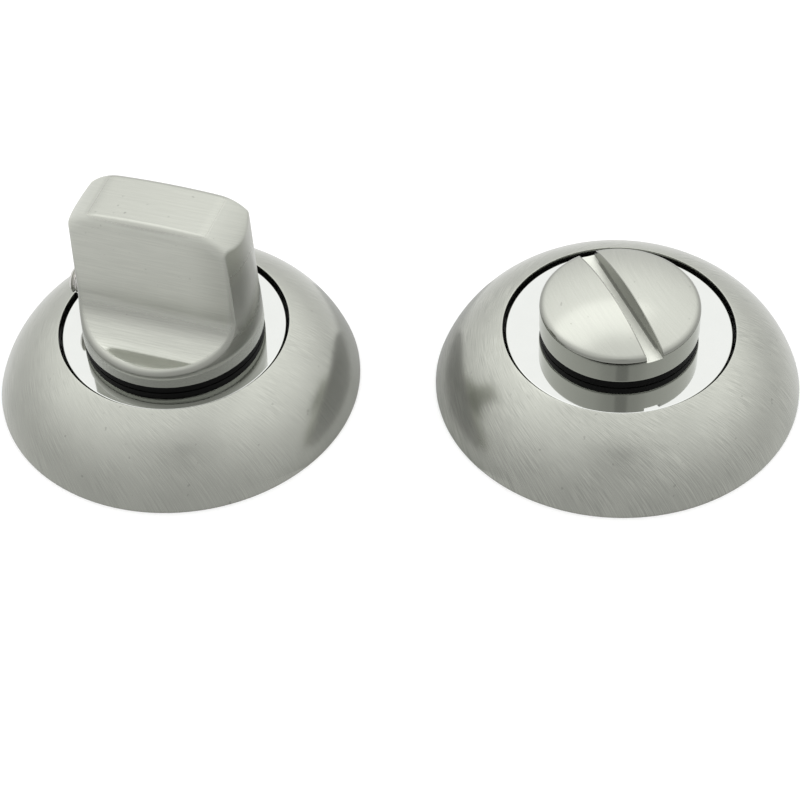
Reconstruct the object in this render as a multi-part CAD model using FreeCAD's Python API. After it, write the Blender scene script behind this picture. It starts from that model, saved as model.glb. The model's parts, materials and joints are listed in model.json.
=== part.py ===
import FreeCAD
import Part
import math
import os

# A bathroom thumb turn lock: the thumb turn for the inside of the door and the slotted
# emergency release for the outside, each a self-contained half on its own round rosette.
# Both halves stand side by side on the plane z = 0, which is the face of the door.
# +Z points away from the door, and +X from the thumb turn to the release. All sizes in mm.

V = FreeCAD.Vector
Z_AXIS = V(0, 0, 1)

# Where the halves stand and how their handles point, seen from the front
axis_spacing = 63.0
turn_angle = -15.4
slot_angle = -66.0
throw_angle = 90.0

# Rosette: a domed ring that screws down over the base plate
rosette_diameter = 52.0
rosette_height = 10.9
rosette_edge_land = 0.3
dome_bulge = 1.6
dome_wall = 1.8
skirt_wall = 2.6
opening_edge_round = 0.35
collar_wall = 1.2
collar_depth = 3.7

# Polished disc: a shallow cap that closes the rosette's opening
disc_sink = 0.85
disc_edge_gap = 0.45
disc_thickness = 0.85
disc_skirt_depth = 2.4
disc_edge_round = 0.2

# Base plate, its bearing boss and its two fixing holes
base_thickness = 3.2
boss_wall = 1.8
boss_clearance = 0.5
bolt_hole_diameter = 4.3
sleeve_diameter = 5.0
sleeve_flange_diameter = 6.0
sleeve_flange_thickness = 0.6
sleeve_bore_diameter = 3.3

# Neck of the turning pieces, with the square socket for the spindle
neck_diameter = 13.0
neck_recess = 0.8
neck_lip = 1.1
neck_flat_width = 10.4
spindle_socket = 6.1
socket_roof = 2.5

# Pieces on the neck
glide_thickness = 1.15
glide_inset = 0.1
bush_wall = 1.5
bush_flange_width = 2.75
bush_flange_thickness = 0.9
wave_count = 3
wave_thickness = 0.3
wave_width = 3.2
wave_space = 0.7
stop_thickness = 1.0
stop_width = 4.3
stop_lug_length = 1.5
stop_lug_angle = 22.0
circlip_thickness = 1.0
circlip_groove_depth = 0.3
circlip_width = 1.9
circlip_offset = 0.35
circlip_gap = 4.6
circlip_ear_diameter = 2.2
circlip_ear_hole = 1.1

# Thumb turn
turn_diameter = 25.8
turn_height = 22.5
turn_taper = 0.7
turn_collar = 2.55
blade_thickness = 10.1
blade_waist = 9.8
scoop_radius = 4.2
shelf_ease_radius = 12.0
shelf_ease_slope = 28.0
shelf_slope = 12.0
scoop_overrun = 0.5
blade_corner_radius = 6.6
blade_corner_inset = 6.1
blade_crown_radius = 120.0
blade_top_round = 1.3
blade_edge_round = 0.9

# Grub screw that locks the thumb turn on the spindle
grub_diameter = 4.0
grub_length = 10.0
grub_height = 4.75
grub_stand_out = 1.9
grub_key = 2.0
grub_key_depth = 2.0
grub_chamfer = 0.4

# Slotted head of the release
head_diameter = 22.5
head_side_height = 4.25
head_crown = 2.1
head_edge_round = 0.8
head_foot_round = 0.3
slot_width = 2.5
slot_edge_depth = 0.9

# Fits, and how closely an edge has to lie on a form to count as part of it
thread_clearance = 0.05
press_clearance = 0.02
running_clearance = 0.05
key_clearance = 0.08
pocket_clearance = 0.5
stop_clearance_angle = 1.5
face_clearance = 0.05
edge_tolerance = 0.01

# Levels that follow from the sizes above
shoulder = base_thickness + face_clearance
disc_top = rosette_height - disc_sink
disc_under = disc_top - disc_thickness
handle_foot = disc_top + face_clearance + glide_thickness
neck_end = neck_recess
circlip_foot = neck_end + neck_lip
circlip_top = circlip_foot + circlip_thickness
stop_foot = circlip_top + face_clearance
stop_top = stop_foot + stop_thickness
bush_foot = stop_top + wave_space
web_under = bush_foot + bush_flange_thickness

# Radii, from the neck outwards to the rosette's opening, and from its edge inwards
neck_radius = neck_diameter / 2
groove_radius = neck_radius - circlip_groove_depth
bush_bore = neck_radius + running_clearance
bush_radius = bush_bore + bush_wall
bush_flange_radius = bush_radius + bush_flange_width
stop_radius = neck_radius + stop_width
lug_radius = stop_radius + stop_lug_length
pocket_radius = max(stop_radius, bush_flange_radius) + pocket_clearance
lug_pocket_radius = lug_radius + pocket_clearance
boss_radius = lug_pocket_radius + boss_wall
disc_skirt_bore = boss_radius + boss_clearance
disc_radius = disc_skirt_bore + disc_thickness
opening_radius = disc_radius + disc_edge_gap
collar_radius = opening_radius + collar_wall
rosette_radius = rosette_diameter / 2
dome_width = rosette_radius - opening_radius
thread_radius = rosette_radius - skirt_wall
bolt_circle = (boss_radius + thread_radius) / 2

# Handles
turn_radius = turn_diameter / 2
turn_top = handle_foot + turn_height
grub_axis = handle_foot + grub_height
head_radius = head_diameter / 2
head_rim = handle_foot + head_side_height
head_top = head_rim + head_crown
slot_floor = head_rim - slot_edge_depth


def at(radius, height):
    """A point of a profile in the XZ plane."""
    return V(radius, 0, height)


def profile_edges(segments):
    """Edges of a profile: a pair of points is a line, three points are an arc."""
    edges = []
    for segment in segments:
        points = [at(*point) for point in segment]
        curve = Part.LineSegment(*points) if len(points) == 2 else Part.Arc(*points)
        edges.append(curve.toShape())
    return edges


def corners(points):
    """Straight segments from point to point."""
    return list(zip(points[:-1], points[1:]))


def turned(segments):
    """The solid that a closed profile sweeps about Z."""
    wire = Part.Wire(profile_edges(segments))
    return Part.Face(wire).revolve(V(0, 0, 0), Z_AXIS, 360)


def ring(inner, outer, bottom, top):
    """A plain ring with a rectangular section."""
    inside = Part.makeCylinder(inner, top - bottom, V(0, 0, bottom))
    return Part.makeCylinder(outer, top - bottom, V(0, 0, bottom)).cut(inside)


def bar(length, width, bottom, top):
    """A rectangular bar centred on Z, along X."""
    return Part.makeBox(length, width, top - bottom, V(-length / 2, -width / 2, bottom))


def sector(radius, angle, bottom, top):
    """A wedge of a cylinder, symmetric about +X."""
    wedge = Part.makeCylinder(radius, top - bottom, V(0, 0, bottom), Z_AXIS, angle)
    return wedge.rotate(V(0, 0, 0), Z_AXIS, -angle / 2)


def on_circle(shape, radius, count):
    """Copies of a shape spaced evenly round Z, the first on +X."""
    copies = []
    for i in range(count):
        copy = shape.copy()
        copy.translate(V(radius, 0, 0))
        copies.append(copy.rotate(V(0, 0, 0), Z_AXIS, 360 * i / count))
    return copies


def arc_circle(start, end, bulge):
    """Centre and radius of the arc that bulges outwards between two profile points."""
    chord = math.dist(start, end)
    radius = (chord**2 / 4 + bulge**2) / (2 * bulge)
    outward = ((end[1] - start[1]) / chord, (start[0] - end[0]) / chord)
    middle = ((start[0] + end[0]) / 2, (start[1] + end[1]) / 2)
    inset = radius - bulge
    centre = (middle[0] - outward[0] * inset, middle[1] - outward[1] * inset)
    return centre, radius


def dome_section(wall):
    """Height at a radius and radius at a height, of the dome at a depth below its surface."""
    edge = (rosette_radius, rosette_edge_land)
    rim = (opening_radius, rosette_height)
    (centre_r, centre_z), surface = arc_circle(edge, rim, dome_bulge)
    radius = surface - wall

    def height(r):
        return centre_z + math.sqrt(radius**2 - (r - centre_r) ** 2)

    def reach(z):
        return centre_r + math.sqrt(radius**2 - (z - centre_z) ** 2)

    return height, reach


def dome():
    """The rosette's outer form, solid."""
    height, _ = dome_section(0)
    middle = rosette_radius - dome_width / 2
    edge = (rosette_radius, rosette_edge_land)
    rim = (opening_radius, rosette_height)
    segments = [
        ((0, 0), (rosette_radius, 0)),
        ((rosette_radius, 0), edge),
        (edge, (middle, height(middle)), rim),
        (rim, (0, rosette_height)),
        ((0, rosette_height), (0, 0)),
    ]
    return turned(segments)


def dome_cavity():
    """The hollow between the collar, the dome's wall and the base plate."""
    height, reach = dome_section(dome_wall)
    foot = (reach(shoulder), shoulder)
    top = (collar_radius, height(collar_radius))
    middle = (collar_radius + foot[0]) / 2
    corner = (collar_radius, shoulder)
    return turned([(corner, foot), (foot, (middle, height(middle)), top), (top, corner)])


def rosette():
    """Domed ring: a shell with a plain collar round the disc and a threaded skirt."""
    opening = Part.makeCylinder(opening_radius, rosette_height)
    under_collar = Part.makeCylinder(collar_radius, rosette_height - collar_depth)
    thread_bore = Part.makeCylinder(thread_radius, shoulder)
    shape = dome().cut([opening, under_collar, thread_bore, dome_cavity()])
    return rounded(shape, opening_edge_round, lambda edge: on_ring(edge, opening_radius, rosette_height))


def on_ring(edge, radius, height):
    """True for a round edge of that radius at that height."""
    box = edge.BoundBox
    found = (box.ZMin, box.ZMax, box.XMin, box.XMax)
    wanted = (height, height, -radius, radius)
    return all(abs(a - b) < edge_tolerance for a, b in zip(found, wanted))


def rounded(shape, radius, picks):
    """The shape with the edges that picks() chooses rounded off."""
    return shape.makeFillet(radius, [edge for edge in shape.Edges if picks(edge)])


def polished_disc():
    """Shallow cap on the boss, centred by the bush."""
    hole = bush_radius + press_clearance
    skirt_foot = disc_top - disc_skirt_depth
    points = [
        (hole, disc_top),
        (disc_radius, disc_top),
        (disc_radius, skirt_foot),
        (disc_skirt_bore, skirt_foot),
        (disc_skirt_bore, disc_under),
        (hole, disc_under),
        (hole, disc_top),
    ]
    shape = turned(corners(points))
    return rounded(shape, disc_edge_round, lambda edge: on_ring(edge, disc_radius, disc_top))


def base(hole_diameter):
    """Cast plate with a bearing boss, a stop pocket behind it and two fixing holes."""
    bore = bush_radius + press_clearance
    plate_radius = thread_radius - thread_clearance
    points = [
        (pocket_radius, 0),
        (plate_radius, 0),
        (plate_radius, base_thickness),
        (boss_radius, base_thickness),
        (boss_radius, disc_under),
        (bore, disc_under),
        (bore, web_under),
        (pocket_radius, web_under),
        (pocket_radius, 0),
    ]
    swing = throw_angle + stop_lug_angle + 2 * stop_clearance_angle
    lug_pocket = sector(lug_pocket_radius, swing, 0, bush_foot)
    drill = Part.makeCylinder(hole_diameter / 2, base_thickness)
    return turned(corners(points)).cut([lug_pocket] + on_circle(drill, bolt_circle, 2))


def bolt_sleeves():
    """Two threaded sleeves, flanged inside the base so that a bolt pulls them tight."""
    stem = Part.makeCylinder(sleeve_diameter / 2 - press_clearance, base_thickness)
    flange_radius = sleeve_flange_diameter / 2
    flange = Part.makeCylinder(flange_radius, sleeve_flange_thickness, V(0, 0, base_thickness))
    bore = Part.makeCylinder(sleeve_bore_diameter / 2, base_thickness + sleeve_flange_thickness)
    sleeve = stem.fuse(flange).cut(bore).removeSplitter()
    return Part.makeCompound(on_circle(sleeve, bolt_circle, 2))


def bush():
    """Flanged plain bearing in the boss, long enough to centre the disc."""
    top = disc_top - face_clearance
    points = [
        (bush_bore, bush_foot),
        (bush_flange_radius, bush_foot),
        (bush_flange_radius, web_under),
        (bush_radius, web_under),
        (bush_radius, top),
        (bush_bore, top),
        (bush_bore, bush_foot),
    ]
    return turned(corners(points))


def glide_ring(handle_radius):
    """Black washer that keeps the handle off the polished disc."""
    return ring(bush_bore, handle_radius - glide_inset, disc_top + face_clearance, handle_foot)


def wave_circle(radius, height):
    """A closed wavy curve round Z that rises and falls wave_count times."""
    amplitude = (wave_space - wave_thickness) / 2 - face_clearance
    points_per_wave = 8
    count = points_per_wave * wave_count
    points = []
    for i in range(count):
        turn = 2 * math.pi * i / count
        rise = amplitude * math.sin(wave_count * turn)
        points.append(V(radius * math.cos(turn), radius * math.sin(turn), height + rise))
    curve = Part.BSplineCurve()
    curve.interpolate(points, PeriodicFlag=True)
    return Part.Wire(curve.toShape())


def wave_washer():
    """Sprung washer that takes up the play of the turning piece."""
    middle = (bush_foot + stop_top) / 2
    inner = neck_radius + pocket_clearance
    outer = inner + wave_width
    levels = [middle - wave_thickness / 2, middle + wave_thickness / 2]
    below, above = [(wave_circle(inner, z), wave_circle(outer, z)) for z in levels]
    pairs = [below, above, (below[0], above[0]), (below[1], above[1])]
    faces = [face for pair in pairs for face in Part.makeRuledSurface(*pair).Faces]
    return solid_of(faces)


def solid_of(faces):
    """The solid that a set of meeting faces encloses, with its faces outwards."""
    shell = Part.makeShell(faces)
    shell.sewShape()
    shape = Part.makeSolid(shell)
    shape.fix(edge_tolerance, edge_tolerance, edge_tolerance)
    return shape if shape.Volume > 0 else shape.reversed()


def flatted_rod(radius, width, bottom, top):
    """A round rod with two flats."""
    rod = Part.makeCylinder(radius, top - bottom, V(0, 0, bottom))
    return rod.common(bar(2 * radius, width, bottom, top))


def stop_washer(rest_side):
    """Washer keyed to the neck's flats, with the lug that meets the stops in the base."""
    disc = Part.makeCylinder(stop_radius, stop_thickness, V(0, 0, stop_foot))
    lug = sector(lug_radius, stop_lug_angle, stop_foot, stop_top)
    lug = lug.rotate(V(0, 0, 0), Z_AXIS, rest_side * throw_angle / 2)
    keyway_width = neck_flat_width + 2 * key_clearance
    keyway = flatted_rod(neck_radius + key_clearance, keyway_width, stop_foot, stop_top)
    return disc.fuse(lug).cut(keyway).removeSplitter()


def circlip():
    """Open retaining ring with two pierced ears, in the neck's groove."""
    inner = groove_radius + press_clearance
    outer = inner + circlip_width
    thickness = circlip_thickness
    body = Part.makeCylinder(outer, thickness, V(-circlip_offset, 0, circlip_foot))
    ear_reach = inner + circlip_ear_diameter / 2
    ear_angle = math.degrees(math.asin((circlip_gap + circlip_ear_diameter) / 2 / ear_reach))
    for side in (-1, 1):
        turn = math.radians(side * ear_angle)
        centre = V(ear_reach * math.cos(turn), ear_reach * math.sin(turn), circlip_foot)
        body = body.fuse(Part.makeCylinder(circlip_ear_diameter / 2, thickness, centre))
        body = body.cut(Part.makeCylinder(circlip_ear_hole / 2, thickness, centre))
    opening = Part.makeBox(2 * outer, circlip_gap, thickness, V(0, -circlip_gap / 2, circlip_foot))
    seat = Part.makeCylinder(inner, thickness, V(0, 0, circlip_foot))
    return body.cut([opening, seat]).removeSplitter()


def neck(top, socket_top):
    """Round neck down to the door side: flats for the stop washer, groove, square socket."""
    shaft = Part.makeCylinder(neck_radius, top - neck_end, V(0, 0, neck_end))
    flat_depth = neck_radius - neck_flat_width / 2
    flat_top = stop_top + face_clearance
    flats = []
    for side in (-1, 1):
        foot = side * (neck_flat_width + flat_depth) / 2
        flat = bar(2 * neck_radius, flat_depth, neck_end, flat_top)
        flat.translate(V(0, foot, 0))
        flats.append(flat)
    groove = ring(groove_radius, neck_radius, circlip_foot - face_clearance, circlip_top + face_clearance)
    socket = bar(spindle_socket, spindle_socket, neck_end, socket_top)
    return shaft.cut(flats + [groove]), socket


def across(segments):
    """A closed profile in the XZ plane, extruded both ways along Y past the turn."""
    face = Part.Face(Part.Wire(profile_edges(segments)))
    face.translate(V(0, -turn_diameter, 0))
    return face.extrude(V(0, 2 * turn_diameter, 0))


def blade_side():
    """The turn seen square on: upright ends, a crowned top and corners tangent to it."""
    crown_centre = turn_top - blade_crown_radius
    corner_x = turn_radius - blade_corner_inset
    lean = math.asin(corner_x / (blade_crown_radius - blade_corner_radius))
    corner_z = crown_centre + (blade_crown_radius - blade_corner_radius) * math.cos(lean)
    bend = (lean + math.pi / 2) / 2

    def on_corner(angle):
        x = corner_x + blade_corner_radius * math.sin(angle)
        return x, corner_z + blade_corner_radius * math.cos(angle)

    def mirrored(point):
        return -point[0], point[1]

    right = [on_corner(lean), on_corner(bend), on_corner(math.pi / 2)]
    left = [mirrored(point) for point in right]
    right_foot = (right[2][0], handle_foot)
    left_foot = mirrored(right_foot)
    segments = [
        (left_foot, right_foot),
        (right_foot, right[2]),
        tuple(reversed(right)),
        (right[0], (0, turn_top), left[0]),
        tuple(left),
        (left[2], left_foot),
    ]
    return across(segments)


def scoop(side):
    """What is scooped away beside the blade: an upright hollow, a bend that eases, a sloping shelf."""
    waist = blade_waist / 2
    edge = blade_thickness / 2
    far = turn_radius + scoop_overrun
    slope = math.radians(shelf_slope)
    ease = math.radians(shelf_ease_slope)
    lip = handle_foot + turn_collar
    ease_inner = waist + scoop_radius * (1 - math.sin(ease))
    shelf_inner = ease_inner + shelf_ease_radius * (math.sin(ease) - math.sin(slope))
    shelf_top = lip + (turn_radius - shelf_inner) * math.tan(slope)
    shelf_end = lip - scoop_overrun * math.tan(slope)
    ease_top = shelf_top + shelf_ease_radius * (math.cos(slope) - math.cos(ease))
    waist_height = ease_top + scoop_radius * math.cos(ease)

    def on_bend(angle):
        x = waist + scoop_radius * (1 - math.sin(angle))
        return x, waist_height - scoop_radius * math.cos(angle)

    def on_ease(angle):
        x = ease_inner + shelf_ease_radius * (math.sin(ease) - math.sin(angle))
        return x, ease_top - shelf_ease_radius * (math.cos(angle) - math.cos(ease))

    flare_middle = (waist + (edge - waist) / 4, (turn_top + waist_height) / 2)
    segments = [
        ((edge, turn_top), flare_middle, (waist, waist_height)),
        ((waist, waist_height), on_bend((math.pi / 2 + ease) / 2), on_bend(ease)),
        (on_bend(ease), on_ease((ease + slope) / 2), on_ease(slope)),
        (on_ease(slope), (far, shelf_end)),
        ((far, shelf_end), (far, turn_top)),
        ((far, turn_top), (edge, turn_top)),
    ]
    return across(segments).rotate(V(0, 0, 0), Z_AXIS, side * 90)


def blade_top_edge(edge):
    """True for the long edges where the top meets the scooped sides."""
    box = edge.BoundBox
    return box.ZMin > turn_top - blade_corner_radius and box.YLength < box.XLength / 4


def blade_end_edge(edge):
    """True for the edges that bound the turn's round ends and its lip."""
    points = edge.discretize(Number=5)
    middle_height = points[2].z

    def off_cone(point):
        cone_radius = turn_radius - turn_taper * (point.z - handle_foot) / turn_height
        return abs(math.hypot(point.x, point.y) - cone_radius)

    return middle_height > handle_foot + turn_collar / 2 and max(map(off_cone, points)) < edge_tolerance


def thumb_turn():
    """The turn, its neck, its spindle socket and the hole for the grub screw: one casting."""
    blank = Part.makeCone(turn_radius, turn_radius - turn_taper, turn_height, V(0, 0, handle_foot))
    blade = blank.common(blade_side()).cut([scoop(-1), scoop(1)])
    blade = rounded(blade, blade_top_round, blade_top_edge)
    blade = rounded(blade, blade_edge_round, blade_end_edge)
    socket_top = grub_axis + grub_diameter / 2 + socket_roof
    shaft, socket = neck(handle_foot, socket_top)
    hole_radius = grub_diameter / 2 + running_clearance
    grub_hole = Part.makeCylinder(hole_radius, turn_diameter, V(0, 0, grub_axis), V(-1, 0, 0))
    return blade.fuse(shaft).removeSplitter().cut([socket, grub_hole])


def grub_screw():
    """Socket set screw in the end of the blade, standing a little proud."""
    outer_end = turn_radius - turn_taper * grub_height / turn_height + grub_stand_out
    radius = grub_diameter / 2
    points = [
        (0, 0),
        (radius - grub_chamfer, 0),
        (radius, grub_chamfer),
        (radius, grub_length - grub_chamfer),
        (radius - grub_chamfer, grub_length),
        (0, grub_length),
        (0, 0),
    ]
    body = turned(corners(points))
    key = Part.Face(Part.makePolygon(hexagon(grub_key, grub_length)))
    body = body.cut(key.extrude(V(0, 0, -grub_key_depth)))
    body.rotate(V(0, 0, 0), V(0, 1, 0), -90)
    body.translate(V(grub_length - outer_end, 0, grub_axis))
    return body


def hexagon(across_flats, height):
    """Corners of a closed hexagon at a height."""
    radius = across_flats / math.sqrt(3)
    turns = [math.radians(60 * i) for i in range(7)]
    return [V(radius * math.cos(turn), radius * math.sin(turn), height) for turn in turns]


def release_head():
    """Round crowned head with a coin slot, its neck and its spindle socket: one casting."""
    crown_radius = (head_radius**2 + head_crown**2) / (2 * head_crown)
    half = head_radius / 2
    half_height = head_top - crown_radius + math.sqrt(crown_radius**2 - half**2)
    segments = [
        ((0, handle_foot), (head_radius, handle_foot)),
        ((head_radius, handle_foot), (head_radius, head_rim)),
        ((head_radius, head_rim), (half, half_height), (0, head_top)),
        ((0, head_top), (0, handle_foot)),
    ]
    head = turned(segments)
    head = rounded(head, head_edge_round, lambda edge: on_ring(edge, head_radius, head_rim))
    head = rounded(head, head_foot_round, lambda edge: on_ring(edge, head_radius, handle_foot))
    shaft, socket = neck(handle_foot, slot_floor - socket_roof)
    slot = bar(2 * head_diameter, slot_width, slot_floor, head_top + slot_edge_depth)
    return head.fuse(shaft).removeSplitter().cut([socket, slot])


def half_pieces(name, handle_radius, hole_diameter, rest_side):
    """The pieces that both halves have, still centred on the origin."""
    return {
        name + "_rosette": rosette(),
        name + "_disc": polished_disc(),
        name + "_base": base(hole_diameter),
        name + "_bush": bush(),
        name + "_glide_ring": glide_ring(handle_radius),
        name + "_wave_washer": wave_washer(),
        name + "_stop_washer": stop_washer(rest_side),
        name + "_circlip": circlip(),
    }


def placed(pieces, x, angle):
    """The pieces of one half, turned to its rest angle and moved to its place."""
    for shape in pieces.values():
        shape.rotate(V(0, 0, 0), Z_AXIS, angle)
        shape.translate(V(x, 0, 0))
    return pieces


def main():
    turn = half_pieces("turn", turn_radius, bolt_hole_diameter, -1)
    turn["turn_knob"] = thumb_turn()
    turn["turn_grub_screw"] = grub_screw()

    release = half_pieces("release", head_radius, sleeve_diameter, 1)
    release["release_head"] = release_head()
    release["release_bolt_sleeves"] = bolt_sleeves()

    pieces = placed(turn, -axis_spacing / 2, turn_angle)
    pieces.update(placed(release, axis_spacing / 2, slot_angle))

    os.makedirs("parts", exist_ok=True)
    for name, shape in pieces.items():
        shape.exportStep(os.path.join("parts", name + ".step"))
        solids = len(shape.Solids)
        print(f"{name}: {solids} solid(s), {shape.Volume:.1f} mm3, valid {shape.isValid()}")


main()
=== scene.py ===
import json
import math

import bmesh
import bpy
from mathutils import Matrix, Vector


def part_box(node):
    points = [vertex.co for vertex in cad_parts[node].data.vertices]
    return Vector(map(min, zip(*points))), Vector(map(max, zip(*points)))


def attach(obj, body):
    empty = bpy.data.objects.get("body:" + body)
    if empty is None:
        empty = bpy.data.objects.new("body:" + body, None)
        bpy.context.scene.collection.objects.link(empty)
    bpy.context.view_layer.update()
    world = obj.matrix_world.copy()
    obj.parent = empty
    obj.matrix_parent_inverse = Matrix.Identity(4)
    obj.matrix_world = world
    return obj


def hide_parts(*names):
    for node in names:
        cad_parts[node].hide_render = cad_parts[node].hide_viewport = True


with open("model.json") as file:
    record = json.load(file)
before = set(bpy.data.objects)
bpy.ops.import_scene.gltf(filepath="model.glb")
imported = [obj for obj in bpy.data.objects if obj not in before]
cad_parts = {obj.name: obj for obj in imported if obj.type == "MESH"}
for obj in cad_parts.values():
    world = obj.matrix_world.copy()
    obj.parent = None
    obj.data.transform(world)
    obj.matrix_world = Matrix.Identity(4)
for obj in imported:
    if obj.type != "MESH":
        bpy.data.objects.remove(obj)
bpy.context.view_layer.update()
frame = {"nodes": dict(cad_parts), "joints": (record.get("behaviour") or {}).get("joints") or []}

MM = 0.001

# Where the two halves stand, from the joints they turn on
joints = {joint["name"]: Vector(joint["pos_m"]) for joint in frame["joints"]}
turn_axis = Vector((joints["turn_spin"].x, joints["turn_spin"].y, 0))
release_axis = Vector((joints["release_spin"].x, joints["release_spin"].y, 0))
blade_angle = math.radians(-15.4)
slot_angle = math.radians(-66)

# Rosette section
rosette_radius = (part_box("turn_rosette")[1].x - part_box("turn_rosette")[0].x) / 2
rosette_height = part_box("turn_rosette")[1].z
rosette_edge_land = 0.3 * MM
dome_width = 9.6 * MM
dome_bulge = 1.6 * MM
dome_wall = 1.8 * MM
skirt_wall = 2.6 * MM
shoulder = 3.25 * MM
opening_radius = rosette_radius - dome_width
opening_round = 0.15 * MM
collar_wall = 1.2 * MM
collar_radius = opening_radius + collar_wall
collar_depth = 3.7 * MM
collar_foot = rosette_height - collar_depth

# Polished disc section
disc_radius = (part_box("turn_disc")[1].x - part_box("turn_disc")[0].x) / 2
disc_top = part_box("turn_disc")[1].z
disc_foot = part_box("turn_disc")[0].z
disc_thickness = 0.85 * MM
disc_round = 0.2 * MM
disc_hole = 8.07 * MM

# Black washer section
washer_bore = 6.55 * MM
washer_round = 0.12 * MM

# Thumb turn, where faces that look upwards by more than shelf_upward are the shelves
handle_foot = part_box("turn_glide_ring")[1].z
turn_radius = 12.9 * MM
blade_half = 5.05 * MM
blade_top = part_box("turn_knob")[1].z
scoop_top = 19.0 * MM
shelf_start = 9.8 * MM
shelf_lift = 0.045
shelf_upward = 0.8
lip_rise = 1.0 * MM
lip_foot = handle_foot + lip_rise

# Release head and neck
head_radius = 11.25 * MM
head_side = 4.25 * MM
head_rim = handle_foot + head_side
head_crown = 2.1 * MM
head_rim_ease = 0.55 * MM
head_foot_round = 0.3 * MM
slot_half = 1.25 * MM
slot_depth = 0.9 * MM
slot_floor = head_rim - slot_depth
socket_roof = 2.5 * MM
head_socket_top = slot_floor - socket_roof
neck_radius = 6.5 * MM
neck_land = 0.3 * MM
neck_margin = 0.05 * MM

# Set screw, measured along the blade from the axis
screw_length = 10.0 * MM
screw_inner_end = -4.652 * MM
screw_chamfer = 0.4 * MM
screw_face = 1.25 * MM
screw_key = 2.0 * MM
screw_key_sides = 6
screw_key_depth = 2.0 * MM
thread_pitch = 0.7 * MM
thread_depth = 0.34 * MM
thread_crest = 0.2 * thread_pitch
thread_root_start = 0.6 * thread_pitch
thread_root_end = 0.7 * thread_pitch

# Fineness of the meshes
round_steps = 192
screw_steps = 64
corner_steps = 5
dome_steps = 28
sharp_angle = math.radians(35)
merge_distance = 0.002 * MM
snap_distance = 0.02 * MM

# Satin nickel: colour, pits and strokes
nickel_dark = (0.362, 0.371, 0.336)
nickel_light = (0.468, 0.477, 0.431)
nickel_relief = 0.1
nickel_relief_height = 0.02 * MM
pit_scale = 1300
pit_zone = (0.74, 0.80)
pit_shade = 0.2
pit_depth = 0.6
stroke_detail = 3.0
stroke_breaks = 0.6

# Rosette strokes, how far they are worn away in places, and the cloud in their colour
turn_sweep = math.radians(-8)
turn_sweep_depth = 0.7
release_sweep = 0.0
release_sweep_depth = 1.25
sweep_power = 0.375
sweep_along = 220.0
sweep_across = 6200.0
sweep_zone = (0.39, 0.61)
sweep_rough = (0.25, 0.21)
wear_scale = 170
wear_zone = (0.35, 0.65)
wear_left = 0.4
cloud_scale = 130
cloud_depth = 0.2

# Straight strokes of a belt, which end at the round side
belt_along = 160.0
belt_across = 3800.0
belt_zone = (0.30, 0.70)
belt_end = (0.9 * MM, 0.3 * MM)

# Thumb turn finish, with painted light on the faces and painted shade on the top, the lip and the round
# side: zones that each fade in or out between two places, then amounts
face_zone = (blade_half, blade_half + 0.5 * MM)
face_top_zone = (blade_top - 0.8 * MM, blade_top - 0.3 * MM)
face_rough_zone = (scoop_top - 3.0 * MM, scoop_top + 1.0 * MM)
matt_and_painted_light_zone = (scoop_top - 5.0 * MM, scoop_top + 4.0 * MM)
matt_and_painted_light_end_zone = (5.0 * MM, 12.0 * MM)
top_zone = (blade_top - 2.4 * MM, blade_top - 0.3 * MM)
shelf_zone = (shelf_start, shelf_start + 0.3 * MM)
shelf_end_zone = (turn_radius - 1.1 * MM, turn_radius - 0.8 * MM)
lip_zone = (turn_radius - 1.0 * MM, turn_radius - 0.7 * MM)
lip_foot_zone = (lip_foot + 0.5 * MM, lip_foot + 0.9 * MM)
lip_top_zone = (scoop_top - 4.0 * MM, scoop_top - 2.0 * MM)
blade_strokes = 0.4
blade_strokes_lost_on_top = 0.5
blade_rough = 0.23
face_roughening = 0.18
shelf_smoothing = 0.13
lip_roughening = 0.1
blade_side_painted_shade = 0.96
blade_lift_over_painted_side = 0.11
matt_painted_light = 0.18
matt_and_painted_light_end_left = 0.5
matt_metal_loss = 0.66
top_painted_shade = 0.12
lip_painted_shade = 0.1

# Release head finish, with painted shade and shadow in the slot, on the rim and the round side, and painted
# light on the slot floor: zones, then amounts
slot_mouth_zone = (slot_half + 0.01 * MM, slot_half + 0.03 * MM)
slot_floor_zone = (slot_floor - 0.06 * MM, slot_floor - 0.02 * MM)
slot_wall_zone = (slot_half - 0.03 * MM, slot_half - 0.01 * MM)
slot_corner_zone = (slot_half * 0.72, slot_half * 0.84)
slot_end_zone = (head_radius - 2.5 * MM, head_radius - 1.0 * MM)
slot_edge_zone = (slot_half + 0.12 * MM, slot_half + 0.18 * MM)
rim_zone = (head_rim - 0.5 * MM, head_rim - 0.2 * MM)
head_strokes = 0.18
head_rough = 0.10
crown_roughening = 0.06
floor_roughening = 0.25
head_side_painted_shade = 0.93
crown_lift_over_painted_side = 0.11
floor_painted_light = 0.75
floor_metal_loss = 0.6
wall_painted_shade = 0.55
corner_painted_shadow_strength = 0.8
rim_painted_shade = 0.16
edge_drop = 0.4

# Chrome, nylon and plain metal, and where most of a noise lies between 0 and 1
noise_zone = (0.3, 0.7)
chrome_dark = (0.52, 0.53, 0.512)
chrome_light = (0.54, 0.55, 0.532)
chrome_haze_scale = 400
chrome_rough = (0.025, 0.05)
nylon_grain_scale = 2500
nylon_relief = 0.15
nylon_relief_height = 0.03 * MM
nylon_gloss = 0.1
nylon_shade = 0.8
metal_shade = 0.72
metal_relief_height = 0.05 * MM
metal_rough_spread = (0.08, -0.05)

# Table and shade cards
table_half = 4.0
table_dark = (0.93, 0.93, 0.93)
table_light = (0.94, 0.94, 0.94)
table_grain_scale = 300
table_glow = 0.08
paper_rough = 0.9
card_grain_scale = 200
card_grain = 0.03
lying_card_half = 12 * MM
lying_card_back = 24 * MM
lying_card_front = -28 * MM
lying_card_height = 0.05 * MM
lying_card_grey = 0.52
standing_card_half = 17 * MM
standing_card_height = 7.5 * MM
standing_card_foot = 0.1 * MM
standing_card_grey = 0.40
standing_card_steps = 24

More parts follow.
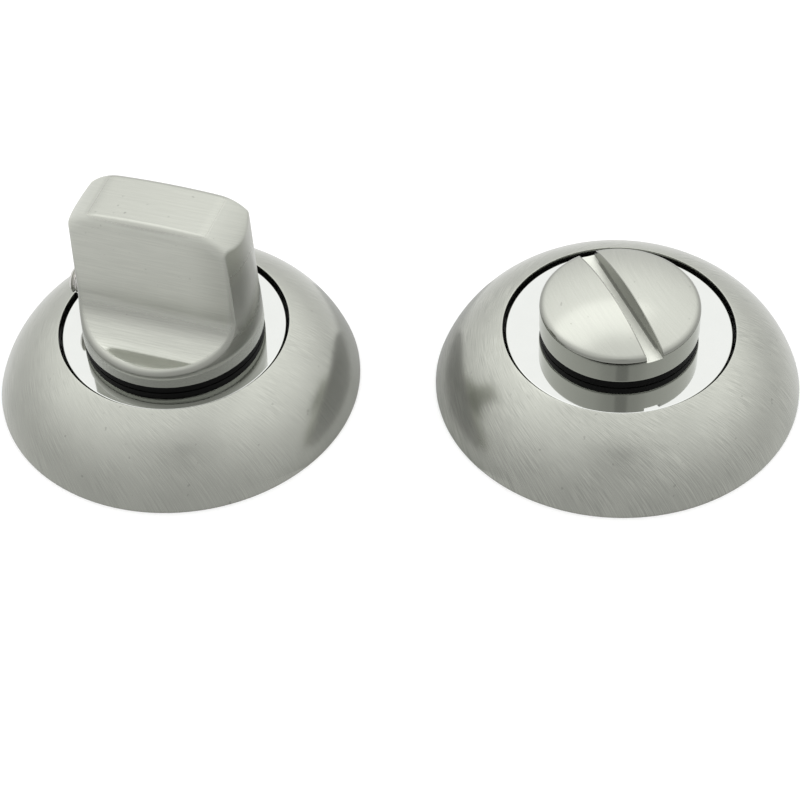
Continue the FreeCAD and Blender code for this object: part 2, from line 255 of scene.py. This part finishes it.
# Studio light: strengths, and zones of a direction's height, depth or side
light_strength = 1.19
upright_guard = 0.01
rear_power = 0.8
front_light = 0.56
front_gain = 0.49
rear_zone = (0.0, 0.75)
rear_light = (0.85, 1.36)
zenith_zone = (0.85, 1.0)
zenith_loss = 0.25
below_light = 0.57
below_gain = 0.33
nadir_zone = (0.45, 0.8)
nadir_loss = 0.16
horizon_zone = (-0.06, 0.06)
panel_foot_zone = (0.73, 0.79)
panel_top_zone = (0.93, 0.985)
panel_left_zone = (-0.98, -0.75)
panel_right_zone = (0.25, 0.55)
panel_front_zone = (0.0, 0.15)
panel_light = 0.36
viewer_direction = Vector((0.053, -0.683, 0.729))
viewer_zone = (0.9914, 0.9976)
viewer_loss = 0.2
room_zone = (0.88, 0.99)
room_loss = 0.13

# Camera, fitted to the circles of both rosettes in the photograph
camera_lens = 107.2
camera_sensor = 36.0
camera_clip = 0.01
camera_target = Vector((0.473, -4.282, 0)) * MM
camera_azimuth = math.radians(4.438)
camera_elevation = math.radians(46.793)
camera_roll = math.radians(-2.768)
camera_distance = 341.47 * MM


def arc_between(start, end, bulge, steps):
    """Points on the arc that bulges outwards from the chord between two profile points."""
    start, end = Vector(start), Vector(end)
    chord = end - start
    radius = (chord.length_squared / 4 + bulge**2) / (2 * bulge)
    outward = Vector((chord.y, -chord.x)).normalized()
    centre = (start + end) / 2 - outward * (radius - bulge)
    first = math.atan2(start.y - centre.y, start.x - centre.x)
    last = math.atan2(end.y - centre.y, end.x - centre.x)
    angles = [first + (last - first) * i / steps for i in range(steps + 1)]
    points = [(centre.x + radius * math.cos(a), centre.y + radius * math.sin(a)) for a in angles]
    return points, centre, radius


def eased(corner, before, after, radius):
    """Points that round off one corner of a profile."""
    corner = Vector(corner)
    start = corner + (Vector(before) - corner).normalized() * radius
    end = corner + (Vector(after) - corner).normalized() * radius
    shares = [i / corner_steps for i in range(corner_steps + 1)]
    return [tuple(start * (1 - t) ** 2 + corner * 2 * t * (1 - t) + end * t**2) for t in shares]


def eased_profile(points, rounds):
    """The closed profile with the numbered corners rounded off."""
    outline = []
    for i, point in enumerate(points):
        if i in rounds:
            outline += eased(point, points[i - 1], points[(i + 1) % len(points)], rounds[i])
        else:
            outline.append(point)
    return outline


def spun(points, centre, axis, steps, closed):
    """A mesh made by spinning an open or closed line of points about an axis."""
    bm = bmesh.new()
    verts = [bm.verts.new(point) for point in points]
    following = verts[1:] + verts[:1] if closed else verts[1:]
    edges = [bm.edges.new(pair) for pair in zip(verts, following)]
    bmesh.ops.spin(bm, geom=verts + edges, cent=centre, axis=axis, angle=2 * math.pi, steps=steps,
                   use_merge=True)
    bmesh.ops.remove_doubles(bm, verts=bm.verts, dist=merge_distance)
    return bm


def piece_from(bm, name):
    """An object made from a finished bmesh, smooth but for its real edges."""
    bmesh.ops.remove_doubles(bm, verts=bm.verts, dist=merge_distance)
    bmesh.ops.recalc_face_normals(bm, faces=bm.faces)
    for face in bm.faces:
        face.smooth = True
    mesh = bpy.data.meshes.new(name)
    bm.to_mesh(mesh)
    bm.free()
    mesh.set_sharp_from_angle(angle=sharp_angle)
    piece = bpy.data.objects.new(name, mesh)
    bpy.context.scene.collection.objects.link(piece)
    weighted = piece.modifiers.new("even_normals", "WEIGHTED_NORMAL")
    weighted.mode = "FACE_AREA_WITH_ANGLE"
    weighted.keep_sharp = True
    return piece


def turned(profile, axis, name):
    """A piece with a closed profile of radius and height, spun about an upright axis."""
    points = [(axis.x + r, axis.y, z) for r, z in profile]
    return piece_from(spun(points, axis, (0, 0, 1), round_steps, closed=True), name)


def rosette(axis, name):
    """Domed ring, hollow behind the dome, with a collar round the disc and a skirt over the base."""
    edge = (rosette_radius, rosette_edge_land)
    rim = (opening_radius, rosette_height)
    outside, centre, radius = arc_between(edge, rim, dome_bulge, dome_steps)
    inner = radius - dome_wall

    def inside(r):
        return centre.y + math.sqrt(inner**2 - (r - centre.x) ** 2)

    hollow_foot = centre.x + math.sqrt(inner**2 - (shoulder - centre.y) ** 2)
    span = hollow_foot - collar_radius
    hollow = [collar_radius + span * i / dome_steps for i in range(dome_steps + 1)]
    thread_radius = rosette_radius - skirt_wall
    points = [(thread_radius, 0), (rosette_radius, 0)]
    points += outside
    rim_index = len(points) - 1
    points += [(opening_radius, collar_foot), (collar_radius, collar_foot)]
    points += [(r, inside(r)) for r in hollow]
    points += [(thread_radius, shoulder)]
    return turned(eased_profile(points, {rim_index: opening_round}), axis, name)


def polished_disc(axis, name):
    """Shallow cap with a fine rounded edge."""
    skirt_bore = disc_radius - disc_thickness
    under = disc_top - disc_thickness
    points = [
        (disc_hole, disc_top),
        (disc_hole, under),
        (skirt_bore, under),
        (skirt_bore, disc_foot),
        (disc_radius, disc_foot),
        (disc_radius, disc_top),
    ]
    return turned(eased_profile(points, {len(points) - 1: disc_round}), axis, name)


def black_washer(node, axis, name):
    """Black washer with softened moulded edges."""
    low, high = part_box(node)
    outer = (high.x - low.x) / 2
    points = [(washer_bore, low.z), (outer, low.z), (outer, high.z), (washer_bore, high.z)]
    return turned(eased_profile(points, {1: washer_round, 2: washer_round}), axis, name)


def geometry_of(faces):
    """Faces with their edges and vertices, as a cut takes them."""
    edges = {edge for face in faces for edge in face.edges}
    verts = {vert for face in faces for vert in face.verts}
    return [*verts, *edges, *faces]


def thumb_turn(name):
    """The solid's own form, shaded smooth, with the ends of its shelves lifted a hair flatter."""
    bm = bmesh.new()
    bm.from_mesh(frame["nodes"]["turn_knob"].data)
    bmesh.ops.remove_doubles(bm, verts=bm.verts, dist=merge_distance)
    bm.normal_update()
    upright = Matrix.Rotation(-blade_angle, 4, "Z") @ Matrix.Translation(-turn_axis)
    across = Vector((-math.sin(blade_angle), math.cos(blade_angle), 0))
    for side in (-1, 1):
        upward = [face for face in bm.faces if face.normal.z > shelf_upward]
        shelf = [face for face in upward if face.calc_center_median().z < scoop_top]
        bmesh.ops.bisect_plane(bm, geom=geometry_of(shelf), plane_co=turn_axis + across * side * shelf_start,
                               plane_no=across, dist=snap_distance)
    for vert in bm.verts:
        beyond = abs((upright @ vert.co).y) - shelf_start
        if beyond > 0 and lip_foot < vert.co.z < scoop_top:
            vert.co.z += beyond * shelf_lift
    return piece_from(bm, name)


def cut_slot(bm):
    """Cuts a slot along X through a closed head that stands on Z."""
    for side in (-1, 1):
        everything = bm.verts[:] + bm.edges[:] + bm.faces[:]
        bmesh.ops.bisect_plane(bm, geom=everything, plane_co=(0, side * slot_half, 0), plane_no=(0, 1, 0),
                               dist=snap_distance, use_snap_center=True)

    def strip_above(height):
        middles = [(face, face.calc_center_median()) for face in bm.faces]
        return [face for face, middle in middles if abs(middle.y) < slot_half and middle.z > height]

    strip = strip_above(handle_foot + head_foot_round)
    bmesh.ops.bisect_plane(bm, geom=geometry_of(strip), plane_co=(0, 0, slot_floor), plane_no=(0, 0, 1),
                           dist=snap_distance, use_snap_center=True)
    bmesh.ops.delete(bm, geom=strip_above(slot_floor), context="FACES")

    def on_floor(vert):
        return abs(vert.co.z - slot_floor) < merge_distance

    def on_wall(vert, side):
        return abs(vert.co.y - side * slot_half) < merge_distance

    open_edges = [edge for edge in bm.edges if edge.is_boundary]
    rim = [edge for edge in open_edges if edge.verts[0].co.z > slot_floor - merge_distance]
    floor = [edge for edge in rim if all(map(on_floor, edge.verts))]
    for side in (-1, 1):
        wall = [edge for edge in rim if all(on_wall(vert, side) for vert in edge.verts)]
        foot = bm.edges.new([vert for edge in wall for vert in edge.verts if on_floor(vert)])
        floor.append(foot)
        bmesh.ops.contextual_create(bm, geom=wall + [foot])
    bmesh.ops.contextual_create(bm, geom=floor)


def crowned_head():
    """The slotted head on Z, open where the neck joins it."""
    top = head_rim + head_crown
    ball = (head_radius**2 + head_crown**2) / (2 * head_crown)
    crown_reach = head_radius - 2 * head_rim_ease
    reaches = [head_radius] + [crown_reach * (1 - i / dome_steps) for i in range(dome_steps + 1)]
    points = [(neck_radius + neck_land, handle_foot), (head_radius, handle_foot)]
    points += [(r, top - ball + math.sqrt(ball**2 - r**2)) for r in reaches]
    outline = eased_profile(points, {1: head_foot_round, 2: head_rim_ease})
    bm = spun([(r, 0, z) for r, z in outline], (0, 0, 0), (0, 0, 1), round_steps, closed=False)
    cut_slot(bm)
    return bm


def neck_of_solid():
    """The solid's neck and spindle socket, without its head."""
    bm = bmesh.new()
    bm.from_mesh(frame["nodes"]["release_head"].data)

    def outside_neck(vert):
        reach = (vert.co - release_axis).xy.length
        return reach > neck_radius + neck_margin or vert.co.z > head_socket_top + neck_margin

    cap = [face for face in bm.faces if any(map(outside_neck, face.verts))]
    bmesh.ops.delete(bm, geom=cap, context="FACES")
    bmesh.ops.remove_doubles(bm, verts=bm.verts, dist=merge_distance)
    return bm


def sharpen_slot(head, upright):
    """Keeps the edges of the slot's walls sharp."""
    for edge in head.data.edges:
        ends = [upright @ head.data.vertices[i].co for i in edge.vertices]
        along_wall = all(abs(abs(end.y) - slot_half) < 2 * merge_distance for end in ends)
        if along_wall and min(end.z for end in ends) > slot_floor - merge_distance:
            edge.use_edge_sharp = True


def release_head(name):
    """Crowned round head with its coin slot, on the neck of the solid."""
    place = Matrix.Translation(release_axis) @ Matrix.Rotation(slot_angle, 4, "Z")
    crown = crowned_head()
    bmesh.ops.transform(crown, matrix=place, verts=crown.verts)
    above = bpy.data.meshes.new(name + "_above")
    crown.to_mesh(above)
    crown.free()
    whole = neck_of_solid()
    whole.from_mesh(above)
    bpy.data.meshes.remove(above)
    seam = [edge for edge in whole.edges if edge.is_boundary]
    bmesh.ops.triangle_fill(whole, edges=seam, normal=(0, 0, -1))
    head = piece_from(whole, name)
    sharpen_slot(head, place.inverted())
    return head


def grub_screw(name):
    """Set screw along the blade: a ridged thread, chamfered ends and a hexagon socket."""
    low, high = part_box("turn_grub_screw")
    centre = Vector((0, 0, (low.z + high.z) / 2))
    radius = (high.z - low.z) / 2
    root = radius - thread_depth
    points = [(0, 0), (0, radius - screw_chamfer)]
    ridges = int((screw_length - 2 * screw_chamfer) / thread_pitch)
    for i in range(ridges):
        start = screw_chamfer + i * thread_pitch
        points += [(start, radius), (start + thread_crest, radius)]
        points += [(start + thread_root_start, root), (start + thread_root_end, root)]
    points += [(screw_length - screw_chamfer, radius), (screw_length, radius - screw_chamfer)]
    points += [(screw_length, screw_face)]
    line = [centre + Vector((screw_inner_end - s, r, 0)) for s, r in points]
    bm = spun(line, centre, (1, 0, 0), screw_steps, closed=False)
    rim = [edge for edge in bm.edges if edge.is_boundary]
    outer_end = centre + Vector((screw_inner_end - screw_length, 0, 0))
    face = Matrix.Translation(outer_end) @ Matrix.Rotation(math.pi / 2, 4, "Y")
    key_radius = screw_key / math.sqrt(3)
    made = bmesh.ops.create_circle(bm, segments=screw_key_sides, radius=key_radius, matrix=face)
    hexagon = list({edge for vert in made["verts"] for edge in vert.link_edges})
    bmesh.ops.bridge_loops(bm, edges=rim + hexagon)
    walls = bmesh.ops.extrude_edge_only(bm, edges=hexagon)["geom"]
    floor = [item for item in walls if isinstance(item, bmesh.types.BMVert)]
    bmesh.ops.translate(bm, verts=floor, vec=(screw_key_depth, 0, 0))
    bmesh.ops.contextual_create(bm, geom=floor)
    along_blade = Matrix.Translation(turn_axis) @ Matrix.Rotation(blade_angle, 4, "Z")
    bmesh.ops.transform(bm, matrix=along_blade, verts=bm.verts)
    return piece_from(bm, name)


class Wire:
    """An output in a node tree. Arithmetic on it adds Math nodes."""

    def __init__(self, finish, socket):
        self.finish = finish
        self.socket = socket

    def math(self, operation, *values):
        return self.finish.node("ShaderNodeMath", {"operation": operation}, dict(enumerate(values)))

    def __add__(self, other):
        return self.math("ADD", self, other)

    def __sub__(self, other):
        return self.math("SUBTRACT", self, other)

    def __rsub__(self, other):
        return self.math("SUBTRACT", other, self)

    def __mul__(self, other):
        return self.math("MULTIPLY", self, other)

    def __truediv__(self, other):
        return self.math("DIVIDE", self, other)

    def __pow__(self, other):
        return self.math("POWER", self, other)

    def __abs__(self):
        return self.math("ABSOLUTE", self)

    __radd__ = __add__
    __rmul__ = __mul__


class Finish:
    """A node tree under construction, for a material or the studio around it."""

    def __init__(self, owner):
        self.owner = owner
        owner.use_nodes = True
        self.tree = owner.node_tree
        self.tree.nodes.clear()

    def node(self, kind, settings=None, inputs=None, output=0):
        """A new node, its settings first and then the values or wires of its sockets."""
        made = self.tree.nodes.new(kind)
        for name, value in (settings or {}).items():
            setattr(made, name, value)
        for name, value in (inputs or {}).items():
            if isinstance(value, Wire):
                self.tree.links.new(value.socket, made.inputs[name])
            else:
                made.inputs[name].default_value = value
        return Wire(self, made.outputs[output]) if made.outputs else None

    def split(self, vector):
        """The three parts of a vector."""
        return [self.node("ShaderNodeSeparateXYZ", inputs={0: vector}, output=i) for i in range(3)]

    def place(self, shift=(0, 0, 0), turn=0.0):
        """Object coordinates moved to a centre and turned about Z, as three wires."""
        where = self.node("ShaderNodeTexCoord", output=3)
        where = self.node("ShaderNodeVectorMath", {"operation": "SUBTRACT"}, {0: where, 1: tuple(shift)})
        about_z = {"rotation_type": "Z_AXIS"}
        return self.split(self.node("ShaderNodeVectorRotate", about_z, {"Vector": where, "Angle": -turn}))

    def noise(self, x, y, z, scale=1.0, detail=2.0, rough=0.5):
        """Noise at a point given by three wires, from 0 to 1."""
        point = self.node("ShaderNodeCombineXYZ", inputs={0: x, 1: y, 2: z})
        inputs = {"Vector": point, "Scale": scale, "Detail": detail, "Roughness": rough}
        return self.node("ShaderNodeTexNoise", inputs=inputs)

    def between(self, value, zone, to_low, to_high):
        """A wire's zone from low to high, spread smoothly over another range."""
        settings = {"interpolation_type": "SMOOTHSTEP"}
        low, high = zone
        inputs = {"Value": value, "From Min": low, "From Max": high, "To Min": to_low, "To Max": to_high}
        return self.node("ShaderNodeMapRange", settings, inputs)

    def rise(self, value, zone):
        """0 below a zone and 1 above it."""
        return self.between(value, zone, 0.0, 1.0)

    def fall(self, value, zone):
        """1 below a zone and 0 above it."""
        return self.between(value, zone, 1.0, 0.0)

    def tint(self, share, first, second):
        """A colour between two colours."""
        inputs = {0: share, 6: (*first, 1), 7: (*second, 1)}
        return self.node("ShaderNodeMix", {"data_type": "RGBA"}, inputs, output=2)

    def bump(self, height, strength, distance):
        inputs = {"Height": height, "Strength": strength, "Distance": distance}
        return self.node("ShaderNodeBump", inputs=inputs)

    def surface(self, **inputs):
        """Ends the material in its shader."""
        named = {name.replace("_", " "): value for name, value in inputs.items()}
        shader = self.node("ShaderNodeBsdfPrincipled", inputs=named)
        self.node("ShaderNodeOutputMaterial", inputs={"Surface": shader})
        return self.owner


def finish(name):
    return Finish(bpy.data.materials.new(name))


def nickel(build, strokes, specks, rough, shade, metal=1.0):
    """Satin nickel plate with a stroke pattern from 0 to 1."""
    colour = build.tint(strokes, nickel_dark, nickel_light)
    shade = shade - specks * pit_shade
    colour = build.node("ShaderNodeVectorMath", {"operation": "SCALE"}, {0: colour, "Scale": shade})
    normal = build.bump(strokes - specks * pit_depth, nickel_relief, nickel_relief_height)
    return build.surface(Base_Color=colour, Metallic=metal, Roughness=rough, Normal=normal)


def pits(build, x, y, z):
    """A few fine pits, 1 in a pit and 0 elsewhere."""
    return build.rise(build.noise(x, y, z, scale=pit_scale, detail=1.0), pit_zone)


def stroke_noise(build, along, across):
    """Noise that coordinates of unlike scale draw out into strokes."""
    return build.noise(along, across, 0.0, detail=stroke_detail, rough=stroke_breaks)


def faded(strokes, share):
    """A stroke pattern at a share of its strength."""
    return (strokes - 0.5) * share + 0.5


def swept_nickel(name, axis, turn, depth):
    """Strokes of a disc sander on a rosette: their direction turns by half of the way round it."""
    build = finish(name)
    x, y, z = build.place(axis, turn)
    reach = (x * x + y * y) ** sweep_power
    half = build.node("ShaderNodeMath", {"operation": "ARCTAN2"}, {0: y, 1: x}) * 0.5
    along = reach * half.math("COSINE", half) * sweep_along
    across = reach * half.math("SINE", half) * sweep_across
    either_side = stroke_noise(build, along * -1.0, across * -1.0) + stroke_noise(build, along, across)
    strokes = build.rise(either_side * 0.5, sweep_zone)
    worn = build.between(build.noise(x, y, z, scale=wear_scale, detail=1.0), wear_zone, wear_left, 1.0)
    strokes = faded(strokes, worn * depth)
    rough = build.between(strokes, (0.0, 1.0), *sweep_rough)
    shade = build.noise(x, y, z, scale=cloud_scale) * cloud_depth + (1.0 - cloud_depth / 2)
    return nickel(build, strokes, pits(build, x, y, z), rough, shade)


def straight_strokes(build, x, y, z, side_radius, depth):
    """Strokes along X that are polished away on the round side, and where they are."""
    fine = stroke_noise(build, x * belt_along, (y + z) * belt_across)
    strokes = build.rise(fine, belt_zone)
    inside = build.fall((x * x + y * y) ** 0.5, [side_radius - width for width in belt_end])
    return faded(strokes, inside * depth), inside


def blade_nickel(name):
    """Thumb turn: belted faces, less metallic and with painted light, a plainer top and a duller lip with
    painted shade, smooth shelves, and a smooth round side with painted shade.
    """
    build = finish(name)
    x, y, z = build.place(turn_axis, blade_angle)
    strokes, inside = straight_strokes(build, x, y, z, turn_radius, blade_strokes)
    radius = (x * x + y * y) ** 0.5
    face = build.fall(abs(y), face_zone) * inside * build.fall(z, face_top_zone)
    # Painted light: the belted faces get a lighter colour as well as less metal.
    matt_and_painted_light = face * build.rise(z, matt_and_painted_light_zone) * build.between(x, matt_and_painted_light_end_zone, 1.0, matt_and_painted_light_end_left)
    # Painted shade: the top gets a darker colour; its strokes are also fainter.
    top = build.rise(z, top_zone)
    shelf = build.rise(abs(y), shelf_zone) * build.fall(radius, shelf_end_zone)
    # Painted shade: the lip gets a darker colour as well as more roughness.
    lip = build.rise(radius, lip_zone) * build.rise(z, lip_foot_zone) * build.fall(z, lip_top_zone)
    rough = face * build.between(z, face_rough_zone, 0.0, face_roughening) + blade_rough
    rough = rough - shelf * shelf_smoothing + lip * lip_roughening
    # Painted shade: the round side's colour is darker than that of the top and faces.
    shade = matt_and_painted_light * matt_painted_light + inside * blade_lift_over_painted_side + blade_side_painted_shade - top * top_painted_shade - lip * lip_painted_shade
    strokes = faded(strokes, 1.0 - top * blade_strokes_lost_on_top)
    metal = 1.0 - matt_and_painted_light * matt_metal_loss
    return nickel(build, strokes, pits(build, x, y, z) * inside, rough, shade, metal)


def head_nickel(name):
    """Release head: strokes along the slot, painted shade on the slot walls and a painted shadow in their
    corners, darker slot edges, a slot floor with painted light, and painted shade on the rim and the round
    side.
    """
    build = finish(name)
    x, y, z = build.place(release_axis, slot_angle)
    strokes, inside = straight_strokes(build, x, y, z, head_radius, head_strokes)
    in_slot = build.fall(abs(y), slot_mouth_zone) * build.rise(z, slot_floor_zone)
    # Painted shade: the slot walls get a darker colour.
    wall = build.rise(abs(y), slot_wall_zone)
    # Painted shadow: the floor's strips along both walls are darkened like the walls, fading towards the
    # slot's ends.
    corner_painted_shadow = build.rise(abs(y), slot_corner_zone) * build.between(abs(x), slot_end_zone, corner_painted_shadow_strength, 0.0)
    wall = (wall + corner_painted_shadow * (1.0 - wall)) * in_slot
    # Painted light: the slot floor gets a lighter colour, besides more roughness and less metal.
    floor = in_slot - wall
    # Painted shade: the rim at the top of the round side gets a darker colour.
    rim = (1.0 - inside) * build.rise(z, rim_zone)
    edge = build.fall(abs(y), slot_edge_zone) * (1.0 - in_slot) * inside
    rough = inside * crown_roughening + head_rough + floor * floor_roughening
    # Painted shade: the round side's colour is darker than the crown's.
    shade = inside * crown_lift_over_painted_side + head_side_painted_shade + floor * floor_painted_light
    shade = shade - wall * wall_painted_shade - rim * rim_painted_shade - edge * edge_drop
    metal = 1.0 - floor * floor_metal_loss
    return nickel(build, strokes, pits(build, x, y, z) * inside, rough, shade, metal)


def mirror_chrome(name, axis):
    """Polished chrome with a faint haze."""
    build = finish(name)
    x, y, z = build.place(axis)
    haze = build.noise(x, y, z, scale=chrome_haze_scale, detail=3.0)
    rough = build.between(haze, noise_zone, *chrome_rough)
    colour = build.tint(haze, chrome_dark, chrome_light)
    return build.surface(Base_Color=colour, Metallic=1.0, Roughness=rough)


def moulded(name, colour, rough):
    """Moulded nylon with a fine grain."""
    build = finish(name)
    x, y, z = build.place()
    grain = build.noise(x, y, z, scale=nylon_grain_scale)
    normal = build.bump(grain, nylon_relief, nylon_relief_height)
    tinted = build.tint(grain, [nylon_shade * c for c in colour], colour)
    return build.surface(Base_Color=tinted, Roughness=rough, Specular_IOR_Level=nylon_gloss, Normal=normal)


def plain_metal(name, colour, rough, grain_scale, relief):
    """Cast, sprung or plated metal: cloudy and slightly uneven."""
    build = finish(name)
    x, y, z = build.place()
    cloud = build.noise(x, y, z, scale=grain_scale, detail=4.0, rough=0.6)
    normal = build.bump(cloud, relief, metal_relief_height)
    roughness = build.between(cloud, noise_zone, *[rough + spread for spread in metal_rough_spread])
    tinted = build.tint(cloud, [metal_shade * c for c in colour], colour)
    return build.surface(Base_Color=tinted, Metallic=1.0, Roughness=roughness, Normal=normal)


def dress(piece, body, material, slot, *nodes):
    """Gives a piece its finish and its place in the moving model."""
    piece.data.materials.clear()
    piece.data.materials.append(material)
    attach(piece, body)
    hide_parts(*nodes)


def coat(node, material):
    """Gives a solid that is shown as it is a better finish."""
    for place in frame["nodes"][node].material_slots:
        place.link = "OBJECT"
        place.material = material


def dress_halves():
    """The pieces of both halves that show."""
    black = moulded("black_nylon_washer", colour=(0.002, 0.002, 0.002), rough=0.6)
    halves = (
        ("turn", turn_axis, "thumb_turn", turn_sweep, turn_sweep_depth),
        ("release", release_axis, "coin_release", release_sweep, release_sweep_depth),
    )
    for half, axis, body, sweep, depth in halves:
        shell = rosette(axis, half + "_domed_rosette")
        swept = swept_nickel(half + "_swept_nickel", axis, sweep, depth)
        dress(shell, "rosettes", swept, "satin_nickel", half + "_rosette")
        disc = polished_disc(axis, half + "_mirror_disc")
        mirror = mirror_chrome(half + "_mirror_chrome", axis)
        dress(disc, "rosettes", mirror, "polished_chrome", half + "_disc")
        washer = black_washer(half + "_glide_ring", axis, half + "_black_washer")
        dress(washer, body, black, "black_nylon", half + "_glide_ring")

    blade = thumb_turn("scooped_thumb_turn")
    dress(blade, "thumb_turn", blade_nickel("blade_nickel"), "satin_nickel", "turn_knob")
    screw = grub_screw("threaded_grub_screw")
    bright = plain_metal("bright_steel", colour=(0.78, 0.77, 0.74), rough=0.14, grain_scale=700, relief=0.05)
    dress(screw, "thumb_turn", bright, "bright_steel", "turn_grub_screw")
    head = release_head("slotted_release_head")
    dress(head, "coin_release", head_nickel("head_nickel"), "satin_nickel", "release_head")


def coat_inner_pieces():
    """The pieces behind the rosettes, which stay as the solids have them."""
    casting = plain_metal("zinc_casting_skin", colour=(0.42, 0.43, 0.44), rough=0.5, grain_scale=900,
                          relief=0.35)
    nylon = moulded("white_nylon_bush", colour=(0.82, 0.81, 0.77), rough=0.45)
    spring = plain_metal("oiled_spring_steel", colour=(0.12, 0.12, 0.13), rough=0.34, grain_scale=1500,
                         relief=0.1)
    plate = plain_metal("bright_zinc_plate", colour=(0.60, 0.61, 0.63), rough=0.32, grain_scale=700,
                        relief=0.12)
    for half in ("turn", "release"):
        coat(half + "_base", casting)
        coat(half + "_bush", nylon)
        coat(half + "_wave_washer", spring)
        coat(half + "_circlip", spring)
        coat(half + "_stop_washer", plate)
    coat("release_bolt_sleeves", plate)


def white_table():
    """White table that lights itself a little and stays out of the polish."""
    bm = bmesh.new()
    bmesh.ops.create_grid(bm, x_segments=1, y_segments=1, size=table_half)
    table = piece_from(bm, "white_table")
    build = finish("white_table_top")
    x, y, z = build.place()
    white = build.tint(build.noise(x, y, z, scale=table_grain_scale), table_dark, table_light)
    glow = {"Emission_Color": (1.0, 1.0, 1.0, 1.0), "Emission_Strength": table_glow}
    table.data.materials.append(build.surface(Base_Color=white, Roughness=paper_rough, **glow))
    table.visible_glossy = False


def shade_card(name, outline, grey):
    """A card between the halves that only their polish sees: the shade there."""
    bm = bmesh.new()
    bm.faces.new([bm.verts.new(corner) for corner in outline])
    card = piece_from(bm, name)
    build = finish(name + "_grey")
    x, y, z = build.place()
    tone = build.tint(build.noise(x, y, z, scale=card_grain_scale), [grey] * 3, [grey + card_grain] * 3)
    card.data.materials.append(build.surface(Base_Color=tone, Roughness=paper_rough))
    card.visible_camera = False
    card.visible_diffuse = False
    card.visible_shadow = False


def shade_cards():
    """One card lies between the halves, and a half-round one stands on it."""
    lying = [
        (lying_card_half, lying_card_back, lying_card_height),
        (-lying_card_half, lying_card_back, lying_card_height),
        (-lying_card_half, lying_card_front, lying_card_height),
        (lying_card_half, lying_card_front, lying_card_height),
    ]
    shade_card("lying_card", lying, lying_card_grey)
    angles = [math.pi * i / standing_card_steps for i in range(standing_card_steps + 1)]
    arch = [
        (0, standing_card_half * math.cos(a), standing_card_foot + standing_card_height * math.sin(a))
        for a in angles
    ]
    shade_card("standing_card", arch, standing_card_grey)


def studio_light():
    """A soft surround: a large light behind and above, and the darker room on the viewer's side."""
    world = bpy.data.worlds.new("studio_light")
    bpy.context.scene.world = world
    sky = Finish(world)
    x, y, z = sky.split(sky.node("ShaderNodeTexCoord"))
    level = (x * x + y * y + upright_guard) ** 0.5
    rearward = (y / level * 0.5 + 0.5) ** rear_power
    upward = z.math("MAXIMUM", z, 0.0)
    front = upward * upward * front_gain + front_light
    rear = sky.between(z, rear_zone, *rear_light) - sky.between(z, zenith_zone, 0.0, zenith_loss)
    above = front + (rear - front) * rearward
    nadir = sky.between(z * -1.0, nadir_zone, 0.0, nadir_loss)
    below = rearward * rearward * below_gain + below_light - nadir
    surround = below + (above - below) * sky.rise(z, horizon_zone)
    sideways = x / level
    panel = sky.rise(z, panel_foot_zone) * sky.fall(z, panel_top_zone) * sky.rise(y, panel_front_zone)
    panel = panel * sky.rise(sideways, panel_left_zone) * sky.fall(sideways, panel_right_zone)
    towards_viewer = x * viewer_direction.x + y * viewer_direction.y + z * viewer_direction.z
    viewer = sky.between(towards_viewer, viewer_zone, 0.0, viewer_loss)
    room = sky.between(towards_viewer, room_zone, 0.0, room_loss)
    light = (surround + panel * panel_light - viewer - room) * light_strength
    shade = sky.node("ShaderNodeBackground", inputs={"Color": (1.0, 1.0, 1.0, 1.0), "Strength": light})
    sky.node("ShaderNodeOutputWorld", inputs={"Surface": shade})


def camera():
    """The photograph's view: from the front, well above, with a long lens and a slight roll."""
    data = bpy.data.cameras.new("photo_view")
    data.lens = camera_lens
    data.sensor_width = camera_sensor
    data.clip_start = camera_clip
    viewer = bpy.data.objects.new("photo_view", data)
    bpy.context.scene.collection.objects.link(viewer)
    level = math.cos(camera_elevation)
    sideways, forwards = level * math.sin(camera_azimuth), level * math.cos(camera_azimuth)
    back = Vector((sideways, -forwards, math.sin(camera_elevation)))
    facing = back.to_track_quat("Z", "Y").to_matrix().to_4x4()
    stand = Matrix.Translation(camera_target + back * camera_distance)
    viewer.matrix_world = stand @ facing @ Matrix.Rotation(camera_roll, 4, "Z")
    bpy.context.scene.camera = viewer
    bpy.context.scene.view_settings.view_transform = "Standard"


dress_halves()
coat_inner_pieces()
white_table()
shade_cards()
studio_light()
camera()
